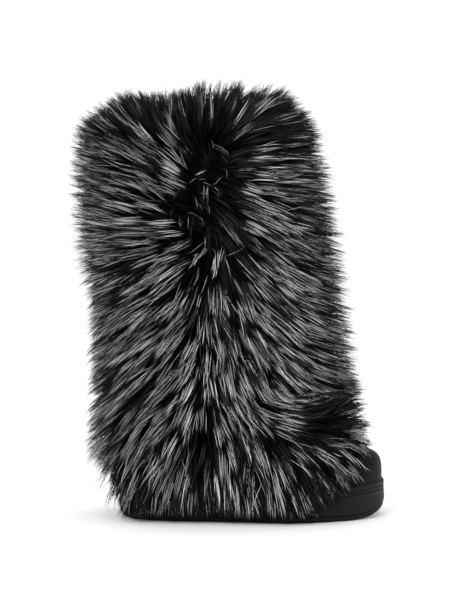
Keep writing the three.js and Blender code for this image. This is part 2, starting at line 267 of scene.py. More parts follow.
@dataclass(frozen=True)
class Fleece(Finish):
    """Black sheared wool, as on a lining or a footbed: matt, with small curls close together."""

    name: str = "wool_black_sheared"
    roughness: float = 0.95
    gloss: float = 0.1
    sheen: float = 0.06
    # painted shade: the colour at the bottom of the pits between the curls
    painted_pit_shade: str = "#020202"
    tuft: str = "#0c0c0d"
    curl_mm: float = 2.6
    curling: Range = (0.05, 0.4)  # where in the curls' relief the tufts are palest and the painted shade in the pits is darkest
    relief_mm: float = 1.2
    relief: float = 0.9

    def inputs(self, nodes: Nodes) -> dict:
        """Gives its curls, with painted shade that darkens the pits between them."""
        wander = nodes.noise(2 * self.curl_mm, Detail=2.0, Distortion=0.6)
        cells = {"Vector": nodes.place, "Scale": 1 / (self.curl_mm * MM), "Randomness": 1.0}
        curls = nodes.add("ShaderNodeTexVoronoi", cells, feature="SMOOTH_F1").outputs["Distance"]
        depth = nodes.add("ShaderNodeMath", {0: curls, 1: wander}, operation="MULTIPLY").outputs[0]
        return {
            # painted shade: the colour darkens from the tufts down into the pits between curls, where shade
            # falls
            "Base Color": nodes.tones(depth, self.curling, linear(self.tuft), linear(self.painted_pit_shade)),
            "Normal": nodes.bump(depth, self.relief, self.relief_mm, invert=True),
        }


@dataclass(frozen=True)
class SilverHair(Finish):
    """Long guard hair, black at the root and the tip with a pale band between them: silky, not wet.

    The map runs along a hair from 0 at its root to 1 at its tip, and across from black hair to the palest.
    """

    name: str = "hair_silver_banded"
    roughness: float = 0.5
    gloss: float = 0.09
    ior: float = 1.55
    black: str = "#040404"
    grey: str = "#565655"
    pale: str = "#f6f7f5"
    band: Row = (0.42, 0.56, 0.77, 0.92)  # where it starts, is full, fades and ends
    shades: Row = (0.0, 0.3, 0.9)  # where across the map hair is black, grey and palest

    def inputs(self, nodes: Nodes) -> dict:
        """Gives the band's colour where the band is, and black elsewhere."""
        where = nodes.add("ShaderNodeUVMap", uv_map=FUR_MAP).outputs["UV"]
        split = nodes.add("ShaderNodeSeparateXYZ", {"Vector": where}).outputs
        none, full = linear("#000000"), linear("#ffffff")
        banded = nodes.tones(split["X"], self.band, none, full, full, none)
        black = linear(self.black)
        pale = nodes.tones(split["Y"], self.shades, black, linear(self.grey), linear(self.pale))
        links = {"Factor": banded, COLOUR_A: black, COLOUR_B: pale}
        return {"Base Color": nodes.add("ShaderNodeMix", links, data_type="RGBA").outputs[COLOUR_RESULT]}


@dataclass(frozen=True)
class Paper(Finish):
    """A plain pale studio floor: matt and even."""

    name: str = "studio_floor"
    roughness: float = 0.9
    gloss: float = 0.1
    colour: str = "#fafafa"

    def inputs(self, nodes: Nodes) -> dict:
        """Gives its colour."""
        return {"Base Color": linear(self.colour)}


def added(name: str, data: ID) -> Object:
    """Adds an object to the scene.

    Args:
        name: its name.
        data: its mesh, light or camera.

    Returns:
        The new object.
    """
    made = bpy.data.objects.new(name, data)
    bpy.context.scene.collection.objects.link(made)
    return made


def cad_mesh(node: str) -> bmesh.types.BMesh:
    """Copies a CAD node into a bmesh, with its corners joined.

    Args:
        node: the CAD node's name.

    Returns:
        The new bmesh, which the caller frees.
    """
    bm = bmesh.new()
    bm.from_mesh(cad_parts[node].data)
    bmesh.ops.remove_doubles(bm, verts=bm.verts, dist=JOINED)
    return bm


def finished(bm: bmesh.types.BMesh, name: str, material: Material, sharp: float) -> Object:
    """Makes an object from a bmesh, smooth apart from its sharp edges, riding on the boot.

    Args:
        bm: the mesh, which is freed.
        name: the piece's name.
        material: its finish.
        sharp: the angle over which an edge stays sharp.

    Returns:
        The new object.
    """
    mesh = bpy.data.meshes.new(name)
    bm.to_mesh(mesh)
    bm.free()
    mesh.materials.append(material)
    mesh.polygons.foreach_set("use_smooth", np.ones(len(mesh.polygons), bool))
    mesh.set_sharp_from_angle(angle=sharp)
    made = added(name, mesh)
    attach(made, BODY)
    return made


def reached(piece: Object) -> Mesh:
    """Makes the mesh that a piece shows with its modifiers.

    Args:
        piece: the object.

    Returns:
        A new mesh.
    """
    graph = bpy.context.evaluated_depsgraph_get()
    graph.update()
    return bpy.data.meshes.new_from_object(piece.evaluated_get(graph))


def smoothed(piece: Object, levels: int, rounds: int = 3, step: float = 0.9) -> None:
    """Subdivides a piece's mesh to a smooth one that still passes through the corners it was made from.

    Args:
        piece: the object, which gets the new mesh. Nothing of it ends below the floor.
        levels: levels of the subdivision surface.
        rounds: how many times the corners are set right.
        step: the share of what is wrong that each round sets right.
    """
    surface = piece.modifiers.new("surface", "SUBSURF")
    surface.levels = levels
    surface.render_levels = levels
    count = len(piece.data.vertices)
    wanted = np.empty(count * 3)
    piece.data.vertices.foreach_get("co", wanted)
    moved = wanted.copy()
    for _ in range(rounds):
        shown = reached(piece)
        places = np.empty(len(shown.vertices) * 3)
        shown.vertices.foreach_get("co", places)
        bpy.data.meshes.remove(shown)
        moved += (wanted - places[: count * 3]) * step
        piece.data.vertices.foreach_set("co", moved)
        piece.data.update()
    fine = reached(piece)
    fine.name = piece.name
    for vertex in fine.vertices:
        vertex.co.z = max(vertex.co.z, 0)
    piece.modifiers.clear()
    piece.data = fine


def refined(
    node: str, name: str, material: Material, crisp: float, fold: float = 28, levels: int = 2
) -> Object:
    """Makes a smooth piece that stands for a CAD node, with the same size and the same crisp edges.

    Args:
        node: the CAD node.
        name: the new piece's name.
        material: its finish.
        crisp: how crisp its folds are, from 0 to 1.
        fold: the angle in degrees over which an edge is a fold.
        levels: levels of the subdivision surface.

    Returns:
        The new object.
    """
    bm = cad_mesh(node)
    flat, even, sharp = (math.radians(angle) for angle in (12, 60, 70))
    bmesh.ops.join_triangles(bm, faces=bm.faces, angle_face_threshold=flat, angle_shape_threshold=even)
    layer = bm.edges.layers.float.new("crease_edge")
    for edge in bm.edges:
        if edge.calc_face_angle(0) > math.radians(fold):
            edge[layer] = crisp
    made = finished(bm, name, material, sharp)
    smoothed(made, levels)
    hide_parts(node)
    return made


@dataclass
class Sole:
    """The platform sole: tread, platform and the strip round its top."""

    crisp_tread: float = 0.8
    crisp_platform: float = 0.75
    crisp_strip: float = 0.7
    rubber: Rubber = field(default_factory=Rubber)

    def build(self) -> list[Object]:
        """Builds and dresses the three pieces.

        Returns:
            The tread, the platform and the strip.
        """
        wall = self.rubber.material()
        return [
            refined("outsole", "tread", wall, crisp=self.crisp_tread),
            refined("midsole", "platform", wall, crisp=self.crisp_platform),
            refined("foxing", "side_strip", wall, crisp=self.crisp_strip),
        ]


@dataclass
class Upper:
    """The hide with its lining, the footbed and the bare suede toe."""

    crisp_rim: float = 0.5
    suede: Suede = field(default_factory=Suede)
    lining: Fleece = field(default_factory=Fleece)

    def build(self) -> list[Object]:
        """Builds and dresses the pieces.

        Returns:
            The hide, the footbed and the toe.
        """
        wool = self.lining.material()
        return [
            refined("upper", "hide_and_lining", wool, fold=60, crisp=self.crisp_rim, levels=1),
            refined("insole", "footbed", wool, fold=40, crisp=self.crisp_rim, levels=1),
            refined("toe_cap", "suede_toe", self.suede.material(), fold=60, crisp=self.crisp_rim),
        ]


@dataclass(frozen=True)
class CombRow:
    """Which way the hair lies at one height, seen from the side: 0 to the toe, 90 up, 180 back and 270 down.

    behind and ahead give the direction in degrees at the places in Fur.behind_at and Fur.ahead_at.
    """

    height: float
    behind: tuple[float, float, float, float]
    ahead: tuple[float, float, float, float, float]


@dataclass(frozen=True)
class Patch:
    """A round patch of the side view in which the hair is paler or blacker than round it."""

    x: float
    z: float
    reach_x: float
    reach_z: float
    paleness: float


COMB = (
    CombRow(20, (268, 266, 262, 268), (-88, -84, -76, -66, -56)),
    CombRow(55, (262, 257, 246, 262), (-84, -80, -68, -62, -58)),
    CombRow(84, (250, 246, 235, 248), (-66, -60, -44, -34, -42)),
    CombRow(98, (245, 241, 232, 244), (-62, -54, -22, 10, -6)),
    CombRow(112, (242, 239, 229, 240), (-62, -56, 8, 42, 14)),
    CombRow(128, (240, 236, 222, 236), (-66, -60, -6, 34, 14)),
    CombRow(138, (240, 235, 222, 240), (-70, -62, -40, -24, -14)),
    CombRow(160, (240, 232, 222, 252), (-76, -70, -48, -26, -14)),
    CombRow(205, (234, 222, 208, 250), (-84, -70, -46, -28, -20)),
    CombRow(250, (208, 206, 206, 240), (-76, -54, -33, -24, -18)),
    CombRow(285, (166, 168, 178, 200), (-68, -50, -32, -20, -14)),
    CombRow(320, (138, 142, 147, 150), (-46, -22, -9, -6, -5)),
    CombRow(360, (137, 142, 144, 126), (30, 8, 8, 1, -2)),
    CombRow(392, (132, 127, 113, 96), (58, 34, 12, 5, 2)),
    CombRow(412, (126, 116, 102, 92), (80, 62, 46, 34, 24)),
)


@dataclass(frozen=True)
class OutlineRow:
    """How far the coat reaches in the side view at one height, back and forward from the origin."""

    height: float
    back: float
    front: float


COAT_OUTLINE = tuple(
    OutlineRow(*row)
    for row in (
        (0, -35, 150), (19, -53, 186), (36, -62, 204), (52, -70, 210), (68, -73, 208),
        (84, -72, 207), (101, -68, 208), (117, -68, 202), (150, -68, 193), (182, -67, 206),
        (215, -68, 203), (248, -77, 196), (280, -84, 190), (312, -84, 178), (345, -84, 170),
        (377, -84, 159), (395, -83, 154), (410, -74, 148), (424, -60, 136), (440, -40, 120),
    )
)


@dataclass(frozen=True)
class Fade:
    """An amount that comes on gradually: none of it up to start and all of it from full on, up or down."""

    amount: float
    start: float
    full: float

    def at(self, x: Array) -> Array:
        """Gives the amount at each place."""
        return self.amount * smooth(self.start, self.full, x)


@dataclass
class Strands:
    """Hairs, or the lines that lead them: points from root to tip, with what each keeps from its growth.

    Turned is how far each strays from the combed direction, and curl how much further it turns by its tip, in
    radians. Stand is how much more it stands than lies at its root.
    """

    roots: Array
    upright: Array
    turned: Array
    curl: Array
    length: Array
    stand: Array
    points: Array
    hold_curve: float = 0.8
    hold_reach: float = 1.1  # how far past its own end a leading line is followed
    least_kept: float = 0.2  # the share of its length that a shortened hair keeps at least

    def nearest(self, leaders: Strands) -> Array:
        """Finds the line whose root is nearest to each hair's root.

        Args:
            leaders: the lines.

        Returns:
            The number of each hair's line.
        """
        tree = KDTree(len(leaders.roots))
        for i, place in enumerate(leaders.roots):
            tree.insert(place, i)
        tree.balance()
        return np.array([tree.find(place)[1] for place in self.roots])

    def gather(self, leaders: Strands, which: Array, hold: Array) -> None:
        """Draws the hairs together along the lines that lead them, more and more towards the tip.

        Args:
            leaders: the lines.
            which: the line that leads each hair.
            hold: how strongly each hair is drawn, from 0 to 1.
        """
        lead = leaders.points[which]
        share = np.minimum(self.length / leaders.length[which], self.hold_reach)[:, None, None]
        lead = lead[:, :1] + (lead - lead[:, :1]) * share
        t = np.linspace(0, 1, self.points.shape[1])[None, :, None]
        self.points += (lead - self.points) * hold[:, None, None] * t**self.hold_curve

    def shorten(self, keep: Array) -> None:
        """Scales the hairs about their roots.

        Args:
            keep: the share of each to keep.
        """
        keep = np.clip(keep, self.least_kept, 1)
        root = self.points[:, :1]
        self.points = root + (self.points - root) * keep[:, None, None]
        self.length = self.length * keep

    def placed(self, rings_at: Row) -> Array:
        """Finds the points at some places along the hairs.

        Args:
            rings_at: the places, from 0 at the root to 1 at the tip.

        Returns:
            The points of each hair.
        """
        steps = self.points.shape[1] - 1
        whole = np.array(rings_at) * steps
        low = np.minimum(whole.astype(int), steps - 1)
        t = (whole - low)[None, :, None]
        return self.points[:, low] * (1 - t) + self.points[:, low + 1] * t


def hair_faces(rings: int) -> list[tuple[int, ...]]:
    """Lists the faces of one three-sided hair: its sides, its tip and its root.

    Args:
        rings: how many rings of three corners it has, under the one corner of its tip.

    Returns:
        Each face's corners, in order round it.
    """
    sides = [
        (3 * r + i, 3 * r + (i + 1) % 3, 3 * r + 3 + (i + 1) % 3, 3 * r + 3 + i)
        for r in range(rings - 1)
        for i in range(3)
    ]
    last = 3 * (rings - 1)
    tips = [(last + i, last + (i + 1) % 3, last + 3) for i in range(3)]
    return [*sides, *tips, (0, 2, 1)]


@dataclass(frozen=True)
class Coat:
    """Hairs ready to be made.

    Tone goes from 0, black, to 1, pale. Shift is how far each band is moved along its hair, and rings_at is
    where along a hair each of its points lies.
    """

    points: Array
    radius: Array
    tone: Array
    shift: Array
    rings_at: Row
    taper_at: Row = (0.0, 0.4, 1.0)
    taper: Row = (0.8, 1.0, 0.5)
    tone_rows: int = 64  # rows of the map, each of one tone

    def part(self, chosen: Array) -> Coat:
        """Gives some of the hairs."""
        picked = (each[chosen] for each in (self.points, self.radius, self.tone, self.shift))
        return Coat(*picked, self.rings_at)

    def corners(self) -> Array:
        """Places the corners of each hair: three round it at each ring, and one at its tip.

        Returns:
            The corners of each hair.
        """
        points = self.points
        rings = points.shape[1] - 1
        ahead = np.diff(points, axis=1)
        ahead = np.concatenate([ahead[:, :1], (ahead[:, 1:] + ahead[:, :-1]) / 2], 1)[:, :rings]
        ahead /= np.linalg.norm(ahead, axis=2, keepdims=True)
        side = np.cross(ahead, np.array(ASKEW))
        side /= np.linalg.norm(side, axis=2, keepdims=True)
        other = np.cross(ahead, side)
        turn = np.radians([0, 120, 240])
        around = side[:, :, None] * np.cos(turn)[:, None] + other[:, :, None] * np.sin(turn)[:, None]
        taper = np.interp(self.rings_at[:-1], self.taper_at, self.taper)
        reach = (self.radius[:, None] * taper)[:, :, None, None]
        walls = (points[:, :rings, None] + around * reach).reshape(len(points), rings * 3, 3)
        return np.concatenate([walls, points[:, -1:]], 1)

    def mapped(self, order: Array) -> Array:
        """Lays each hair on the map: root to tip along it, and across it in the row of the hair's tone.

        Args:
            order: the corners of one hair's faces, one face after the other.

        Returns:
            The place on the map of each face's corners, for each hair.
        """
        rings = len(self.rings_at) - 1
        share = np.array([*np.repeat(self.rings_at[:-1], 3), 1.0])[order]
        quarters = [[i, i + 1, i + 1, i] for _ in range(rings - 1) for i in range(3)]
        quarters += [[i, i + 1, i + 0.5] for i in range(3)] + [[0, 2, 1]]
        row = 1 / self.tone_rows
        u = np.clip(share[None, :] + self.shift[:, None] * np.sin(math.pi * share)[None, :], 0, 1)
        v = np.floor(self.tone / row)[:, None] * row + np.concatenate(quarters)[None, :] * row / 4
        return np.stack([u, v], 2)

    def build(self, name: str, material: Material) -> Object:
        """Makes one piece of three-sided tapered hairs, each closed at its root and pointed at its tip.

        Args:
            name: the piece's name.
            material: its finish.

        Returns:
            The new object.
        """
        corners = self.corners()
        count, per = corners.shape[:2]
        faces = hair_faces(len(self.rings_at) - 1)
        order = np.concatenate([np.array(face) for face in faces])
        loops = (order[None, :] + per * np.arange(count)[:, None]).ravel()
        sizes = np.tile([len(face) for face in faces], count)

        mesh = bpy.data.meshes.new(name)
        mesh.vertices.add(count * per)
        mesh.vertices.foreach_set("co", corners.astype(np.float32).ravel())
        mesh.loops.add(len(loops))
        mesh.loops.foreach_set("vertex_index", loops.astype(np.int32))
        mesh.polygons.add(len(sizes))
        mesh.polygons.foreach_set("loop_start", (np.cumsum(sizes) - sizes).astype(np.int32))
        mesh.polygons.foreach_set("use_smooth", np.ones(len(sizes), bool))
        mesh.update(calc_edges=True)
        layer = mesh.uv_layers.new(name=FUR_MAP)
        layer.uv.foreach_set("vector", self.mapped(order).astype(np.float32).ravel())

        mesh.materials.append(material)
        made = added(name, mesh)
        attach(made, BODY)
        return made

    def divided(self, pieces: type[Enum], middle: float, material: Material) -> list[Object]:
        """Makes the hair in pieces, one after the other round the leg.

        Args:
            pieces: the pieces' names, from the front round by the outer side.
            middle: the leg's middle along the boot, in metres.
            material: their finish.

        Returns:
            The pieces.
        """
        root = self.points[:, 0]
        round_from_front = np.arctan2(-root[:, 1], root[:, 0] - middle) % (2 * math.pi)
        shares = np.array_split(np.argsort(round_from_front, kind="stable"), len(pieces))
        return [self.part(share).build(piece.value, material) for share, piece in zip(shares, pieces)]


def skin(node: str) -> tuple[Array, Array, Array]:
    """Reads the surface of a CAD node.

    Args:
        node: its name.

    Returns:
        The corners of its triangles, the corners' smooth normals, and the triangles' areas.
    """
    bm = cad_mesh(node)
    bm.normal_update()
    corners = np.array([[v.co[:] for v in f.verts] for f in bm.faces])
    normals = np.array([[v.normal[:] for v in f.verts] for f in bm.faces])
    areas = np.array([f.calc_area() for f in bm.faces])
    bm.free()
    return corners, normals, areas


def solids(*nodes: str) -> BVHTree:
    """Joins CAD nodes in one search tree.

    Args:
        nodes: their names.

    Returns:
        The tree.
    """
    bm = bmesh.new()
    for node in nodes:
        bm.from_mesh(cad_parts[node].data)
    tree = BVHTree.FromBMesh(bm)
    bm.free()
    return tree


@dataclass
class Fur:
    """The pelts' hair: tufts made of locks made of hairs, combed away from a parting on each side of the leg.

    Places along the boot are measured from the sole's rear end, and heights from the floor. A pair is the
    least and the most of something that is left to chance.
    """

    # Where it grows and how it is combed.
    heel_setback: float = 44.0
    parting: float = 88.0
    wander: float = 4.0  # how far the parting strays to either side
    wander_waves: Range = (19.0, 7.3)  # how long its strays are, as millimetres to a radian
    short_waves: float = 0.6  # how far the shorter ones stray, of the longer ones
    behind_at: Row = (-35.0, 5.0, 45.0, 80.0)
    ahead_at: Row = (96.0, 130.0, 165.0, 200.0, 235.0)
    edge_crowd: float = 0.8  # how much closer it grows at the front and the back
    collar_crowd: Fade = Fade(2.2, 372, 392)  # the same by the collar
    hem_crowd: Fade = Fade(2.4, 70, 45)  # and by the hem
    root_depth: float = 0.5

    # How many hairs there are, and how each is drawn.
    hairs: int = 41000
    locks: int = 4200
    tufts: int = 560
    down: int = 21000  # short black hairs under the long ones
    steps: int = 4  # lengths that each hair grows in
    rings_at: Row = (0.0, 0.4, 0.8, 1.0)  # where along it the mesh has its rings and its tip
    down_rings_at: Row = (0.0, 0.65, 1.0)
    hair_radius: float = 0.31  # real hair is far finer, drawn as coarse as the render can show
    down_radius: float = 0.62
    thickness: Range = (0.75, 1.2)
    loose_thickness: float = 0.65

    # How long it is and how it stands.
    length: float = 58.0
    edge_length: float = 0.5  # how much longer it is at the front and the back
    toe_shorter: Fade = Fade(0.12, 215, 240)  # along the boot
    below_instep: Fade = Fade(1, 140, 100)
    hem_longer: Fade = Fade(0.2, 100, 50)
    line_length: Range = (0.85, 1.1)
    line_stand: Range = (0.6, 1.35)
    stand: float = 1.25  # how much more a hair stands than lies at its root
    bend: float = 1.6  # how soon it bends over
    lie: float = 0.12  # how much more it stands than lies at its tip
    edge_stand: float = 1.3  # how much more the hair at the front and the back stands
    edge_bend: float = 0.4
    collar_flat: Fade = Fade(0.6, 365, 400)  # how much less it stands by the collar
    hem_flat: Fade = Fade(0.5, 95, 45)
    tuck: float = 0.1  # how far hair combed straight out of the leg is laid down instead
    droop: float = 0.16
    down_share: float = 0.62  # the short hair's length, of the long hair's
    down_edge_length: float = 0.2
    down_length: Range = (0.75, 1.1)

    # How it is gathered, in degrees from the combed direction and in shares.
    tuft_wander: float = 13.0
    lock_wander: float = 9.0
    hair_wander: float = 3.0
    tuft_hold: float = 0.34
    tuft_hold_within: Range = (0.5, 1.3)
    lock_hold: float = 0.66
    lock_hold_within: Range = (0.8, 1.2)
    hair_stand: Range = (0.9, 1.1)
    hair_length: Range = (0.76, 1.06)
    strays: float = 0.05  # the share of hairs that keep to no lock
    stray_wander: float = 14.0
    stray_length: float = 1.25
    loose_hold: float = 0.1

    # Short pale hair that lies any way by the upper parting.
    loose_height: float = 318.0
    loose_reach: Range = (24.0, 64.0)
    loose_locks: float = 0.12
    loose_lock_curl: Range = (0.6, 1.8)
    loose_lock_length: Range = (0.4, 0.6)
    loose_lock_stand: float = 1.4
    loose_lock_tone: float = 0.75
    wisps: float = 0.012
    wisp_curl: Range = (0.9, 2.3)
    wisp_length: float = 0.66
    wisp_stand: float = 2.4
    wisp_tone: float = 0.5

    # How far it reaches.
    proud: float = 19.0  # how far the tips may stand out of the CAD's coat, between its locks
    collar_proud: Fade = Fade(18, 360, 398)
    hem_proud: Fade = Fade(18, 120, 60)
    ragged: Range = (4.0, 10.0)  # how far a lock may pass the outline
    hair_ragged: Range = (-3.0, 3.0)  # how much further a hair of it may
    stray_ragged: Range = (2.0, 8.0)
    down_ragged: Range = (-8.0, 1.0)
    top_at: Row = (-75.0, -45.0, 18.0, 42.0, 125.0, 150.0)
    top_height: Row = (412.0, 425.0, 427.0, 439.0, 440.0, 411.0)
    ceiling: float = 446.5
    floor_clearance: float = 1.5
    sole_clearance: float = 1.2
    sole_height: float = 80.0  # under which hair is kept off the sole and the toe
    sole_reach: float = 25.0  # how deep in them it is still found

    # How pale it is.
    pale_share: float = 0.8
    patch_edge: Fade = Fade(1, 1.3, 0.6)
    pale_tone: Range = (0.5, 1.0)
    black_tone: Range = (0.0, 0.2)
    dull_hairs: float = 0.5
    dull_tone: Range = (0.0, 0.26)
    bright_tone: Range = (0.7, 1.1)
    palest: float = 0.999
    hair_shift: float = 0.05
    lock_shift: float = 0.06
    patches: tuple[Patch, ...] = (
        Patch(90, 330, 14, 72, 0.22),
        Patch(70, 225, 26, 100, 0.92),
        Patch(60, 392, 50, 22, 0.2),
        Patch(132, 390, 50, 24, 0.2),
        Patch(152, 300, 42, 40, 0.64),
        Patch(88, 108, 14, 16, 0.1),
        Patch(120, 44, 150, 34, 0.46),
        Patch(205, 52, 36, 30, 0.4),
        # painted shade: the hollow over the instep, darkened by giving it almost no pale locks
        Patch(182, 106, 44, 20, 0.03),
    )
    seed: int = 7
    finish: SilverHair = field(default_factory=SilverHair)
    pelts: BVHTree = field(init=False)
    sole: BVHTree = field(init=False)
    rng: np.random.Generator = field(init=False)

    def __post_init__(self) -> None:
        """Reads the solids that the hair fills and keeps off, and starts the source of chance."""
        self.pelts = solids("pelt_back", "pelt_front")
        self.sole = solids("midsole", "outsole", "foxing", "toe_cap")
        self.rng = np.random.default_rng(self.seed)

    def covered(self, places: Array, upright: Array) -> Array:
        """Tells which places on the hide lie under a pelt, by a look from 1 mm under it to 2 mm over it.

        Args:
            places: points on the hide.
            upright: the normals there.

        Returns:
            Whether each is covered.
        """
        cast, reach = self.pelts.ray_cast, 3 * MM
        hits = [cast(Vector(p - n * MM), Vector(n), reach)[0] for p, n in zip(places, upright)]
        return np.array([hit is not None for hit in hits])

    def roots(self, count: int) -> tuple[Array, Array]:
        """Spreads roots evenly over the hide, where the pelts cover it.

        Args:
            count: about how many roots are wanted.

        Returns:
            The roots' places and the skin's normals there.
        """
        corners, normals, areas = skin("upper")
        areas = np.where(self.covered(corners.mean(1), normals.mean(1)), areas, 0)
        height = corners.mean(1)[:, 2] / MM
        rim = self.collar_crowd.at(height) + self.hem_crowd.at(height)
        areas *= 1 + self.edge_crowd * normals.mean(1)[:, 0] ** 2 + rim
        edges = np.concatenate([[0], np.cumsum(areas)]) / areas.sum()
        spread = (np.arange(count) + self.rng.random(count)) / count
        chosen = np.clip(np.searchsorted(edges, spread) - 1, 0, len(areas) - 1)
        share = self.rng.random((count, 2))
        share = np.where(share.sum(1, keepdims=True) > 1, 1 - share, share)
        weights = np.stack([1 - share.sum(1), share[:, 0], share[:, 1]], 1)[:, :, None]
        places = (corners[chosen] * weights).sum(1)
        upright = (normals[chosen] * weights).sum(1)
        upright /= np.linalg.norm(upright, axis=1, keepdims=True)
        keep = self.covered(places, upright)
        return places[keep], upright[keep]

    def side_view(self, places: Array) -> tuple[Array, Array]:
        """Gives the distance from the sole's rear end and the height of places, in millimetres."""
        return places[:, 0] / MM + self.heel_setback, places[:, 2] / MM

    def away(self, places: Array, x: float, z: float, reach_x: float, reach_z: float) -> Array:
        """Measures how far places are from a point of the side view, as a share of a reach each way."""
        along, height = self.side_view(places)
        return np.hypot((along - x) / reach_x, (height - z) / reach_z)

    def comb(self, places: Array, behind: Array) -> Array:
        """Finds the direction in which the hair is combed, in the side view.

        Args:
            places: points on the hair, in metres.
            behind: whether each hair grows behind the parting.

        Returns:
            The angle at each place, in radians.
        """
        x, z = self.side_view(places)
        heights = np.array([row.height for row in COMB])
        level = np.clip(np.searchsorted(heights, z) - 1, 0, len(COMB) - 2)
        t = np.clip((z - heights[level]) / (heights[level + 1] - heights[level]), 0, 1)
        back = np.stack([np.interp(x, self.behind_at, row.behind) for row in COMB])
        front = np.stack([np.interp(x, self.ahead_at, row.ahead) for row in COMB])
        rows = np.where(behind, back, front)
        index = np.arange(len(x))
        return np.radians(rows[level, index] * (1 - t) + rows[level + 1, index] * t)

    def paleness(self, places: Array) -> Array:
        """Finds the share of locks that show a pale band.

        Args:
            places: roots, in metres.

        Returns:
            The share at each root.
        """
        share = np.full(len(places), self.pale_share)
        for patch in self.patches:
            away = self.away(places, patch.x, patch.z, patch.reach_x, patch.reach_z)
            share += (patch.paleness - share) * self.patch_edge.at(away)
        return share

    def lengths(self, places: Array) -> Array:
        """Finds the hair's length, which is less over the toe and more at the hem.

        Args:
            places: roots, in metres.

        Returns:
            The length at each root, in metres.
        """
        x, z = self.side_view(places)
        toe = 1 - self.toe_shorter.at(x) * self.below_instep.at(z)
        return self.length * MM * toe * (1 + self.hem_longer.at(z))

    def strands(self, count: int, wander: float) -> Strands:
        """Plants and grows hairs, or lines that lead them.

        Args:
            count: about how many.
            wander: how far each strays from the combed direction, in degrees.

        Returns:
            The grown hairs.
        """
        rng = self.rng
        roots, upright = self.roots(count)
        n = len(roots)
        turned = np.radians(rng.normal(0, wander, n))
        edge = 1 + self.edge_length * upright[:, 0] ** 2
        length = self.lengths(roots) * edge * rng.uniform(*self.line_length, n)
        stand = self.stand * rng.uniform(*self.line_stand, n)
        made = Strands(roots, upright, turned, np.zeros(n), length, stand, np.empty(0))
        self.grow(made)
        return made

    def grow(self, hairs: Strands) -> None:
        """Grows hairs from their roots: out from the skin first, then over in the combed direction.

        Args:
            hairs: the hairs, whose points are set.
        """
        x, height = self.side_view(hairs.roots)
        long_wave, short_wave = self.wander_waves
        strayed = np.sin(height / long_wave) + self.short_waves * np.sin(height / short_wave + 1)
        behind = x < self.parting + self.wander * strayed
        facing = hairs.upright[:, 0] ** 2
        flat = 1 - self.collar_flat.at(height) - self.hem_flat.at(height)
        point = hairs.roots - hairs.upright * self.root_depth * MM
        points = [point]
        for step in range(self.steps):
            t = (step + 0.5) / self.steps
            angle = self.comb(point, behind) + hairs.turned + hairs.curl * t
            combed = np.stack([np.cos(angle), np.zeros_like(angle), np.sin(angle)], 1)
            outward = np.maximum((combed * hairs.upright).sum(1), 0)
            combed -= hairs.upright * (self.tuck * outward)[:, None]
            out = hairs.stand * (1 - t) ** self.bend + self.lie
            out = (out + self.edge_stand * facing * (1 - self.edge_bend * t)) * flat
            heading = hairs.upright * out[:, None] + combed
            heading[:, 2] -= self.droop * (t * t + outward)
            heading /= np.linalg.norm(heading, axis=1, keepdims=True)
            point = point + heading * (hairs.length / self.steps)[:, None]
            points.append(point)
        hairs.points = np.stack(points, 1)

    def trim(self, hairs: Strands, ragged: Array) -> None:
        """Shortens hairs that pass the coat's outline, stand far out of the pelts' solids or reach the floor.

        Args:
            hairs: the hairs, whose points are changed.
            ragged: how far each tip may pass the outline, in metres.
        """
        root, tip = hairs.points[:, 0], hairs.points[:, -1]
        chord = root - tip
        reach = np.linalg.norm(chord, axis=1)
        over = np.zeros(len(root))
        for i in range(len(root)):
            way = Vector(chord[i])
            place, normal, _face, away = self.pelts.ray_cast(Vector(tip[i]), way, reach[i])
            if place is not None and normal.dot(way) < 0:
                over[i] = away
        height = root[:, 2] / MM
        proud = (self.proud + self.collar_proud.at(height) + self.hem_proud.at(height)) * MM
        hairs.shorten(1 - np.maximum(over - ragged - proud, 0) / reach)
        heights = [row.height * MM for row in COAT_OUTLINE]
        for _ in range(2):
            tip = hairs.points[:, -1]
            back = np.interp(tip[:, 2], heights, [row.back * MM for row in COAT_OUTLINE]) - ragged
            front = np.interp(tip[:, 2], heights, [row.front * MM for row in COAT_OUTLINE]) + ragged
            top = np.interp(tip[:, 0], np.array(self.top_at) * MM, np.array(self.top_height) * MM) + ragged
            top = np.minimum(top, self.ceiling * MM)
            floor = np.full(len(tip), self.floor_clearance * MM)
            keep = np.ones(len(tip))
            for axis, limit, sign in ((0, back, -1), (0, front, 1), (2, top, 1), (2, floor, -1)):
                past = (tip[:, axis] - limit) * sign
                span = np.maximum((tip[:, axis] - root[:, axis]) * sign, MM)
                keep = np.minimum(keep, 1 - np.maximum(past, 0) / span)
            hairs.shorten(keep)

    def clear_sole(self, hairs: Strands) -> None:
        """Keeps hairs off the sole's side and the suede toe.

        Args:
            hairs: the hairs, whose points are changed.
        """
        gap = self.sole_clearance * MM
        for step in range(1, self.steps + 1):
            for hair in np.flatnonzero(hairs.points[:, step, 2] < self.sole_height * MM):
                point = Vector(hairs.points[hair, step])
                near, normal, _face, away = self.sole.find_nearest(point, self.sole_reach * MM)
                if near is None:
                    continue
                inside = (point - near).dot(normal) < 0
                if inside or away < gap:
                    hairs.points[hair, step] = near + normal * gap

    def loosen(self, hairs: Strands, share: float, curl: Range, rng: np.random.Generator) -> Array:
        """Turns and curls some hairs by the upper parting, so that they will lie in any direction.

        Args:
            hairs: the hairs, or the lines that lead them.
            share: how many of them.
            curl: the least and the most that they curl, in radians.
            rng: the source of chance.

        Returns:
            Whether each is one of these.
        """
        n = len(hairs.roots)
        away = self.away(hairs.roots, self.parting, self.loose_height, *self.loose_reach)
        chosen = (rng.random(n) < share) & (away < 1)
        hairs.turned += np.where(chosen, rng.uniform(-math.pi, math.pi, n), 0)
        hairs.curl += np.where(chosen, rng.choice([-1, 1], n) * rng.uniform(*curl, n), 0)
        return chosen

